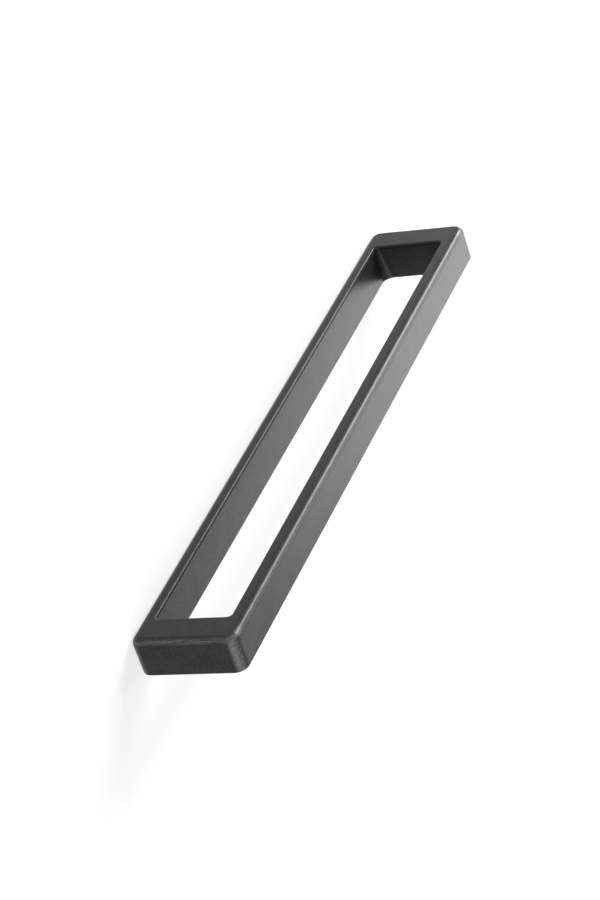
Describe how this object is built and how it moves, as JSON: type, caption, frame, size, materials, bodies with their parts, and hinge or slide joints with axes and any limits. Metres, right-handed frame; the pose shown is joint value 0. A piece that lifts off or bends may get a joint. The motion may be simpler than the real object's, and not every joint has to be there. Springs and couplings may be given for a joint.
{
  "type": "furniture handle",
  "caption": "Long slim frame-shaped pull for drawers and cabinet doors, with a finger opening and threaded screw holes in the face that meets the furniture.",
  "frame": {"origin": "centre of the mounting face", "axes": "+X along the handle, +Z away from the furniture to the grip bar, and the front with the rounded outer edge faces -Y"},
  "size_m": [0.168, 0.009, 0.025],
  "materials": {
    "furniture_handle": "satin anthracite powder coat with a fine texture over cast zinc alloy"
  },
  "bodies": {
    "root": {"furniture_handle": "furniture_handle"}
  },
  "joints": []
}
